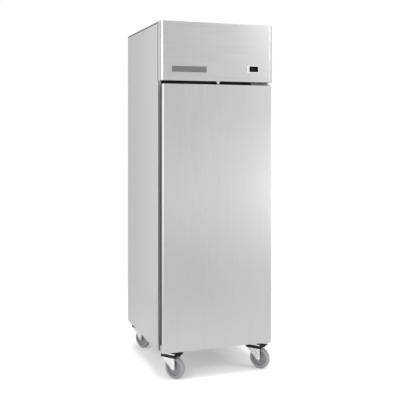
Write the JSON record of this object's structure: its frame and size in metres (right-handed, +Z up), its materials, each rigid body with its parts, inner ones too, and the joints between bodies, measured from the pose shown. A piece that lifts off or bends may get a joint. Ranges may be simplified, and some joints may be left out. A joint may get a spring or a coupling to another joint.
{
  "type": "upright refrigerator",
  "caption": "Upright stainless refrigerator with a full-height door with a side grip, a hinged top fascia with a controller, wire shelves, a top-mounted cooling unit and braked swivel castors.",
  "frame": {"origin": "middle of the outer box, on the floor under the castors", "axes": "+Z up, the door faces -Y, +X to the right of someone who faces the door"},
  "size_m": [0.68, 0.76, 2.01],
  "materials": {
    "outer_steel": "brushed satin",
    "inner_steel": "satin",
    "zinc": "bright zinc plate",
    "frame_paint": "grey paint",
    "motor_paint": "black paint",
    "plate_grey": "satin",
    "fins": "bare",
    "copper": "bare copper",
    "wire": "chromed",
    "black_plastic": "matte",
    "light_plastic": "satin",
    "white_plastic": "satin",
    "lamp": "translucent",
    "window": "gloss",
    "foam": "foam",
    "gasket": "matte",
    "rubber": "matte",
    "tyre_grey": "matte"
  },
  "bodies": {
    "cabinet": {"side_panel_left": "outer_steel", "side_panel_right": "outer_steel", "back_panel": "outer_steel", "rear_grille": "outer_steel", "roof_panel": "outer_steel", "base_pan": "zinc", "base_frame": "frame_paint", "unit_deck": "zinc", "cabinet_foam": "foam", "liner": "inner_steel", "breaker_frame": "black_plastic", "shelf_uprights": "inner_steel", "shelf_runners": "inner_steel", "evaporator_cover": "inner_steel", "evaporator_coil": "fins", "fan_motors": "motor_paint", "fan_guards": "wire", "interior_light": "lamp", "compressor": "motor_paint", "compressor_grommets": "rubber", "condenser_coil": "fins", "condenser_shroud": "zinc", "refrigerant_pipes": "copper", "electrical_box": "light_plastic", "power_inlet": "black_plastic", "hinge_bracket_top": "zinc", "hinge_bracket_bottom": "zinc", "hinge_screws": "zinc", "castor_plates": "zinc", "castor_bolts": "zinc", "castor_dust_rings": "black_plastic"},
    "fascia": {"fascia_panel": "outer_steel", "fascia_catch": "zinc", "badge_plate": "plate_grey", "controller_case": "light_plastic", "controller_window": "window"},
    "key_up": {"controller_key_up": "light_plastic"},
    "key_down": {"controller_key_down": "light_plastic"},
    "door": {"door_skin": "outer_steel", "door_liner": "inner_steel", "door_foam": "foam", "door_gasket": "gasket", "door_bushes": "white_plastic"},
    "shelf_low": {"shelf_low": "wire"},
    "shelf_middle": {"shelf_middle": "wire"},
    "shelf_high": {"shelf_high": "wire"},
    "evaporator_fan": {"evaporator_fan": "black_plastic"},
    "condenser_fan": {"condenser_fan": "black_plastic"},
    "castor_fl": {"castor_fork_fl": "zinc"},
    "wheel_fl": {"castor_wheel_fl": "tyre_grey"},
    "castor_fr": {"castor_fork_fr": "zinc"},
    "wheel_fr": {"castor_wheel_fr": "tyre_grey"},
    "castor_rl": {"castor_fork_rl": "zinc"},
    "wheel_rl": {"castor_wheel_rl": "tyre_grey"},
    "castor_rr": {"castor_fork_rr": "zinc"},
    "wheel_rr": {"castor_wheel_rr": "tyre_grey"},
    "pedal_fl": {"brake_pedal_fl": "black_plastic"},
    "pedal_fr": {"brake_pedal_fr": "black_plastic"},
    "pedal_rl": {"brake_pedal_rl": "black_plastic"},
    "pedal_rr": {"brake_pedal_rr": "black_plastic"}
  },
  "joints": [
    {"name": "fascia_hinge", "type": "hinge", "parent": "cabinet", "child": "fascia", "pos_m": [0, -0.3245, 2.0045], "axis": [-1, 0, 0], "range_deg": [0, 55]},
    {"name": "door_hinge", "type": "hinge", "parent": "cabinet", "child": "door", "pos_m": [0.314, -0.3525, 0.9], "axis": [0, 0, 1], "range_deg": [0, 110]},
    {"name": "key_up_press", "type": "slide", "parent": "fascia", "child": "key_up", "axis": [0, 1, 0], "range_m": [0, 0.0008], "stiffness_N_per_m": 900},
    {"name": "key_down_press", "type": "slide", "parent": "fascia", "child": "key_down", "axis": [0, 1, 0], "range_m": [0, 0.0008], "stiffness_N_per_m": 900},
    {"name": "shelf_low_slide", "type": "slide", "parent": "cabinet", "child": "shelf_low", "axis": [0, -1, 0], "range_m": [0, 0.015]},
    {"name": "shelf_middle_slide", "type": "slide", "parent": "cabinet", "child": "shelf_middle", "axis": [0, -1, 0], "range_m": [0, 0.015]},
    {"name": "shelf_high_slide", "type": "slide", "parent": "cabinet", "child": "shelf_high", "axis": [0, -1, 0], "range_m": [0, 0.015]},
    {"name": "evaporator_fan_spin", "type": "hinge", "parent": "cabinet", "child": "evaporator_fan", "pos_m": [0, 0.062, 1.545], "axis": [0, -1, 0], "continuous": true},
    {"name": "condenser_fan_spin", "type": "hinge", "parent": "cabinet", "child": "condenser_fan", "pos_m": [-0.17, -0.2145, 1.814], "axis": [0, -1, 0], "continuous": true},
    {"name": "castor_fl_swivel", "type": "hinge", "parent": "cabinet", "child": "castor_fl", "pos_m": [-0.262, -0.2815, 0.139], "axis": [0, 0, 1], "continuous": true},
    {"name": "wheel_fl_spin", "type": "hinge", "parent": "castor_fl", "child": "wheel_fl", "pos_m": [-0.23737, -0.31302, 0.0625], "axis": [0.788, 0.6157, 0], "continuous": true},
    {"name": "castor_fr_swivel", "type": "hinge", "parent": "cabinet", "child": "castor_fr", "pos_m": [0.262, -0.2815, 0.139], "axis": [0, 0, 1], "continuous": true},
    {"name": "wheel_fr_spin", "type": "hinge", "parent": "castor_fr", "child": "wheel_fr", "pos_m": [0.28663, -0.31302, 0.0625], "axis": [0.788, 0.6157, 0], "continuous": true},
    {"name": "castor_rl_swivel", "type": "hinge", "parent": "cabinet", "child": "castor_rl", "pos_m": [-0.279, 0.329, 0.139], "axis": [0, 0, 1], "continuous": true},
    {"name": "wheel_rl_spin", "type": "hinge", "parent": "castor_rl", "child": "wheel_rl", "pos_m": [-0.26273, 0.29246, 0.0625], "axis": [0.9135, 0.4067, 0], "continuous": true},
    {"name": "castor_rr_swivel", "type": "hinge", "parent": "cabinet", "child": "castor_rr", "pos_m": [0.279, 0.329, 0.139], "axis": [0, 0, 1], "continuous": true},
    {"name": "wheel_rr_spin", "type": "hinge", "parent": "castor_rr", "child": "wheel_rr", "pos_m": [0.29527, 0.29246, 0.0625], "axis": [0.9135, 0.4067, 0], "continuous": true},
    {"name": "pedal_fl_press", "type": "hinge", "parent": "castor_fl", "child": "pedal_fl", "pos_m": [-0.25338, -0.29253, 0.128], "axis": [0.788, 0.6157, 0], "range_deg": [0, 10]},
    {"name": "pedal_fr_press", "type": "hinge", "parent": "castor_fr", "child": "pedal_fr", "pos_m": [0.27062, -0.29253, 0.128], "axis": [0.788, 0.6157, 0], "range_deg": [0, 10]},
    {"name": "pedal_rl_press", "type": "hinge", "parent": "castor_rl", "child": "pedal_rl", "pos_m": [-0.27331, 0.31621, 0.128], "axis": [0.9135, 0.4067, 0], "range_deg": [0, 10]},
    {"name": "pedal_rr_press", "type": "hinge", "parent": "castor_rr", "child": "pedal_rr", "pos_m": [0.28469, 0.31621, 0.128], "axis": [0.9135, 0.4067, 0], "range_deg": [0, 10]}
  ]
}
